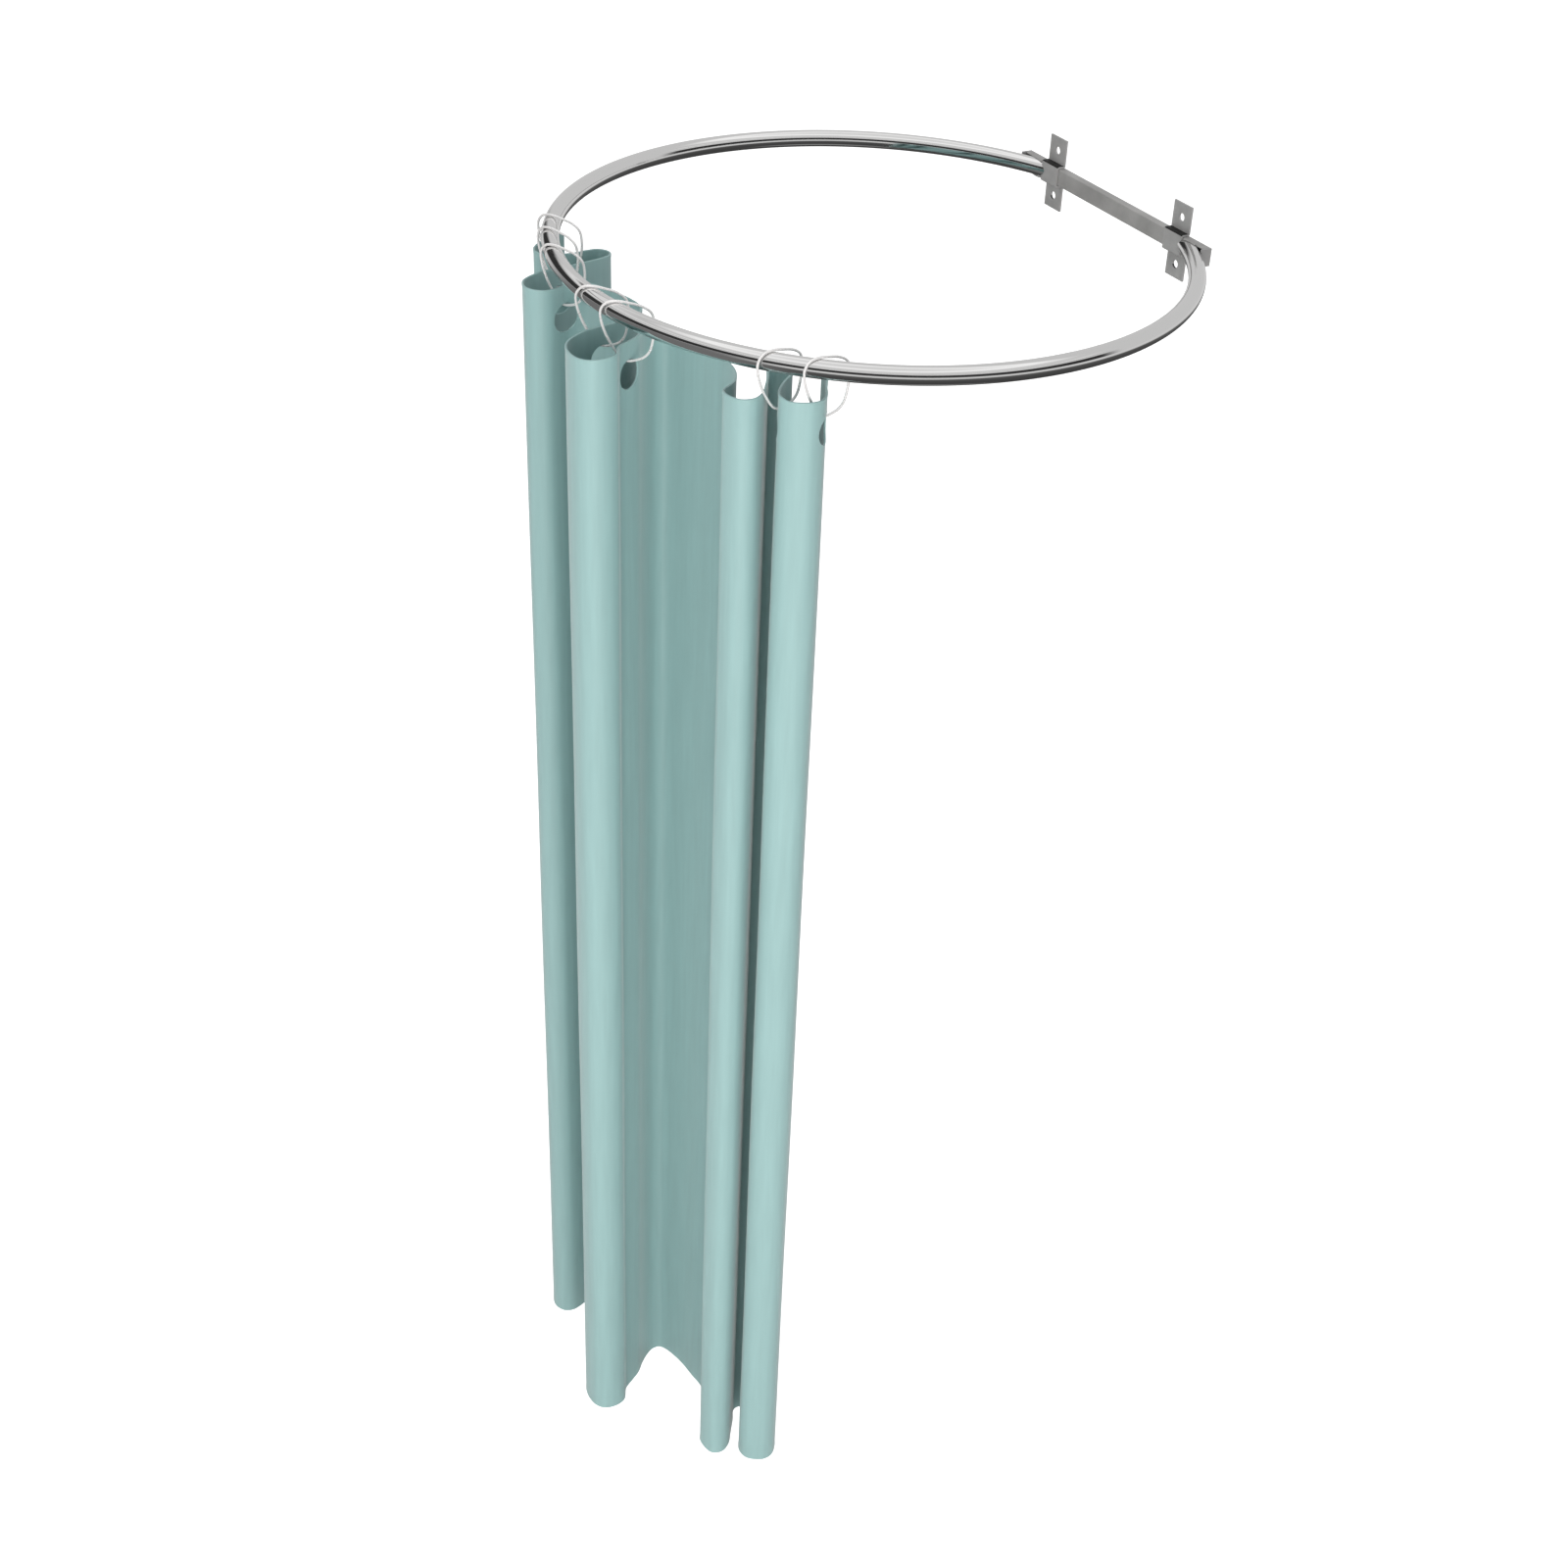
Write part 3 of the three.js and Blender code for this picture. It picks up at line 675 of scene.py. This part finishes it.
def flat_panel(number, left, hole, right):
    """A width laid flat: its points, how much each thickens, its faces and its open edges."""
    columns = panel_columns(left, hole, right)
    grid_along, grid_down = np.meshgrid(columns, ROWS, indexing="ij")
    flat = [np.stack([grid_along.ravel(), grid_down.ravel()], axis=1)]
    to_edge = np.minimum(-grid_down, grid_down + CLOTH_LENGTH).ravel()
    if number == 0:
        to_edge = np.minimum(to_edge, grid_along.ravel())
    if number == len(HOLES):
        to_edge = np.minimum(to_edge, (CLOTH_WIDTH - grid_along).ravel())
    lips = [edge_lip(to_edge)]
    faces = []
    rims = []
    cells = set()
    height = len(ROWS)
    if hole is not None:
        cells, edge = window_edge(columns, hole)
        outer = [column * height + row for column, row in edge]
        points, rim_lips, faces, rim = window_rings(flat[0], outer, hole)
        flat += points
        lips += rim_lips
        rims.append(rim)
    for column in range(len(columns) - 1):
        for row in range(height - 1):
            if (column, row) not in cells:
                corner = column * height + row
                faces.append((corner, corner + height, corner + height + 1, corner + 1))
    tops = [column * height for column in range(len(columns))]
    rims.append(tops)
    rims.append([top + height - 1 for top in tops][::-1])
    if number == 0:
        rims.append(list(range(height))[::-1])
    if number == len(HOLES):
        rims.append([tops[-1] + row for row in range(height)])
    return np.concatenate(flat), np.concatenate(lips), faces, rims


def turned_out(vertices, normals, faces):
    """The faces, each wound so that it faces the way its corners' normals point."""
    quads = np.array(faces)
    corners = vertices[quads]
    facing = np.cross(corners[:, 2] - corners[:, 0], corners[:, 3] - corners[:, 1])
    inward = (facing * normals[quads].sum(axis=1)).sum(axis=1) < 0
    quads[inward] = quads[inward][:, ::-1]
    return quads.tolist()


def rounded_edge(rim, front, back, outside, half):
    """Three lines along an open edge, from the front over its crown to the back, and their normals."""
    centre = (front[rim] + back[rim]) / 2
    outward = np.cross(outside[rim], np.gradient(centre, axis=0))
    outward /= np.maximum(np.linalg.norm(outward, axis=1, keepdims=True), LEAST_LENGTH)
    crown = centre + outward * half[rim][:, None] * CROWN_SHARE
    lean = outside[rim] * CROWN_SHARE
    normals = [lean + outward * CROWN_SHARE, outward, outward * CROWN_SHARE - lean]
    return [front[rim], crown, back[rim]], normals


def hung_panel(flat, lips, faces, rims):
    """The width as it hangs: both faces of the cloth and the rounded edges that join them."""
    along_cloth = flat[:, 0]
    down_cloth = flat[:, 1]
    plan, normal = plan_at(along_cloth)
    waver = WAVER_DEPTH * np.sin(along_cloth * WAVER_ALONG + down_cloth * WAVER_LEAN)
    waver = waver * np.sin(down_cloth * WAVER_DOWN + WAVER_START)
    plan = plan + normal * waver[:, None]
    half = CLOTH_HALF + lips
    rise = HEM_RISE * np.clip(1 - along_cloth / CLOTH_WIDTH / RISE_SHARE, 0, 1)
    heights = CLOTH_TOP + down_cloth * (1 - rise / CLOTH_LENGTH) - hem_sag(along_cloth, down_cloth)
    front = np.column_stack([plan + normal * half[:, None], heights])
    back = np.column_stack([plan - normal * half[:, None], heights])
    outside = np.column_stack([normal, np.zeros(len(normal))])
    vertices = [front, back]
    normals = [outside, -outside]
    places = [flat, flat]
    count = len(flat)
    faces = faces + [tuple(corner + count for corner in face[::-1]) for face in faces]
    base = 2 * count
    for rim in rims:
        lines, facing = rounded_edge(rim, front, back, outside, half)
        vertices += lines
        normals += facing
        places += [flat[rim]] * len(lines)
        size = len(rim)
        for step in range(size - 1):
            for corner in (base + step, base + size + step):
                faces.append((corner, corner + size, corner + size + 1, corner + 1))
        base += len(lines) * size
    vertices = np.concatenate(vertices)
    normals = np.concatenate(normals)
    return vertices, normals, turned_out(vertices, normals, faces), np.concatenate(places)


def lay_cloth(mesh, places, normals):
    """The cloth's weave follows the flat sheet, and its shading the folds' own normals."""
    layer = mesh.uv_layers.new(name="cloth")
    index = np.empty(len(mesh.loops), int)
    mesh.loops.foreach_get("vertex_index", index)
    layer.data.foreach_set("uv", places[index].ravel().astype(np.float32))
    normals /= np.maximum(np.linalg.norm(normals, axis=1, keepdims=True), LEAST_LENGTH)
    mesh.normals_split_custom_set_from_vertices([tuple(normal) for normal in normals])
    mesh.materials.append(CLOTH)


def cloth_panel(number):
    """One width of the curtain between two seams, with its hole, as a doubled surface."""
    seams = [0] + [hole + HOLE_WINDOW + SEAM_PAST_WINDOW for hole in HOLES] + [CLOTH_WIDTH]
    left = seams[number]
    right = seams[number + 1]
    hole = HOLES[number] if number < len(HOLES) else None
    vertices, normals, faces, places = hung_panel(*flat_panel(number, left, hole, right))
    obj = new_mesh(f"curtain_width_{number + 1}", vertices, faces)
    lay_cloth(obj.data, places, normals)
    bodies = [f"hanger_{index + 1}" for index in range(len(HOLES))]
    if number == 0:
        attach(obj, bodies[0])
    elif number == len(HOLES):
        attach(obj, bodies[-1])
    else:
        start, end = blend_line(left, HOLES[number], right)
        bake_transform(obj)
    if number > 0:
        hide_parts(f"curtain_{number}")


def dress_bracket():
    """The bracket keeps the part's own meshes and gets only its materials."""
    dressed = {"wall_bar": SATIN}
    for side in ("left", "right"):
        dressed[f"end_plate_{side}"] = END
        dressed[f"wall_strap_{side}"] = STRAP
        dressed[f"weld_{side}_upper"] = SATIN
        dressed[f"weld_{side}_lower"] = SATIN
    for name, material in dressed.items():
        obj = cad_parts[name]
        obj.data.materials.clear()
        obj.data.materials.append(material)


def set_up(obj, right, up, back, place):
    """Puts a camera or a lamp in the scene by its own axes."""
    columns = [(*right, 0), (*up, 0), (*back, 0), (*place, 1)]
    obj.matrix_world = Matrix(columns).transposed()
    bpy.context.scene.collection.objects.link(obj)


def camera():
    data = bpy.data.cameras.new("camera")
    data.lens = LENS
    data.sensor_width = SENSOR
    data.shift_x = SHIFT[0]
    data.shift_y = SHIFT[1]
    data.clip_end = CAMERA_REACH
    obj = bpy.data.objects.new("camera", data)
    set_up(obj, CAMERA_RIGHT, CAMERA_UP, CAMERA_BACK, CAMERA_PLACE)
    bpy.context.scene.camera = obj


def seen_directly(tree):
    """1 for rays from the camera, for reflections and for what is seen through, and 1 for reflections."""
    path = node(tree, "ShaderNodeLightPath", {}).outputs
    both = number_math(tree, "MAXIMUM", path["Is Camera Ray"], path["Is Glossy Ray"])
    return number_math(tree, "MAXIMUM", both, path["Is Transmission Ray"]), path["Is Glossy Ray"]


def painted_floor_reflection(tree):
    """The painted reflection that the metal mirrors of the floor: grey bands by distance, dark nearer the
    object as painted shade, and a painted pool of light on one side.
    """
    place = place_of(tree, "Object")
    distance = {
        "Value": length_of(tree, place),
        "From Min": FLOOR_DISTANCES[0],
        "From Max": FLOOR_DISTANCES[1],
    }
    far = node(tree, "ShaderNodeMapRange", distance).outputs["Result"]
    bands = ramp(tree, far, greys(PAINTED_FLOOR_REFLECTION_BANDS))
    flat = node(tree, "ShaderNodeVectorMath", {0: place, 1: (1, 1, 0)}, operation="MULTIPLY")
    level = flat.outputs["Vector"]
    unit = node(tree, "ShaderNodeVectorMath", {0: level}, operation="NORMALIZE").outputs["Vector"]
    on_side = eased(tree, towards(tree, unit, POOL_FROM), POOL_SIDES)
    past_start = eased(tree, length_of(tree, level), POOL_DISTANCES)
    # A painted pool of light in the floor's painted reflection.
    painted_light_pool = number_math(tree, "MULTIPLY", on_side, past_start)
    return mixed(tree, painted_light_pool, bands, grey(PAINTED_LIGHT_POOL_LEVEL))


def pale_floor():
    level = CLOTH_TOP - CLOTH_LENGTH - FLOOR_GAP
    signs = ((-1, -1), (1, -1), (1, 1), (-1, 1))
    corners = [(x * FLOOR_REACH, y * FLOOR_REACH, level) for x, y in signs]
    floor = new_mesh("pale_floor", corners, [(0, 1, 2, 3)], smooth=False)
    material, tree, principled = new_material("pale_floor")
    direct, glossy = seen_directly(tree)
    inputs = {
        "Base Color": (*grey(FLOOR_LEVEL), 1),
        "Roughness": 0.9,
        "Specular IOR Level": 0,
        "Emission Color": (1, 1, 1, 1),
        "Emission Strength": number_math(tree, "MULTIPLY", direct, FLOOR_GLOW),
    }
    fill_in(tree, principled, inputs)
    # In reflections the floor shows this painted reflection instead of its own look.
    mirrored = node(tree, "ShaderNodeEmission", {"Color": painted_floor_reflection(tree)})
    shaders = {0: glossy, 1: principled.outputs["BSDF"], 2: mirrored.outputs["Emission"]}
    choice = node(tree, "ShaderNodeMixShader", shaders)
    fill_in(tree, tree.nodes["Material Output"], {"Surface": choice.outputs["Shader"]})
    floor.data.materials.append(material)


def studio_world():
    """White where it is seen, bands of grey where metal mirrors it, and a soft light from one side."""
    world = bpy.data.worlds.new("studio")
    world.use_nodes = True
    bpy.context.scene.world = world
    tree = world.node_tree
    direct, glossy = seen_directly(tree)
    way = place_of(tree, "Generated")
    height = node(tree, "ShaderNodeSeparateXYZ", {"Vector": way}).outputs["Z"]
    banded = eased(tree, towards(tree, way, PLAIN_SIDE), PLAIN_EDGES)
    mirrored = mixed(tree, banded, grey(SIDE_GREY), ramp(tree, height, greys(SKY_BANDS)))
    soft = eased(tree, towards(tree, way, LIGHT_FROM), LIGHT_EDGES, SOFT_LIGHT)
    inputs = {MIX_FACTOR: direct, MIX_LEVELS[0]: soft, MIX_LEVELS[1]: 1}
    strength = node(tree, "ShaderNodeMix", inputs).outputs[MIXED_LEVEL]
    shown = {"Color": mixed(tree, glossy, grey(1), mirrored), "Strength": strength}
    fill_in(tree, tree.nodes["Background"], shown)


def lamps():
    for name, place, aim, width, power in LAMPS:
        data = bpy.data.lights.new(name, "AREA")
        data.energy = power
        data.size = width
        data.color = LAMP_COLOUR
        lamp = bpy.data.objects.new(name, data)
        lamp.visible_glossy = False
        beam = np.array(aim) - np.array(place)
        back = -beam / np.linalg.norm(beam)
        side = np.cross([0, 0, 1], back)
        side /= np.linalg.norm(side)
        set_up(lamp, side, np.cross(back, side), back, place)


camera()
rail()
for hook_number in range(len(HOLES)):
    wire_hook(hook_number)
for panel_number in range(len(HOLES) + 1):
    cloth_panel(panel_number)
dress_bracket()
bpy.context.scene.view_settings.view_transform = "Standard"
pale_floor()
studio_world()
lamps()
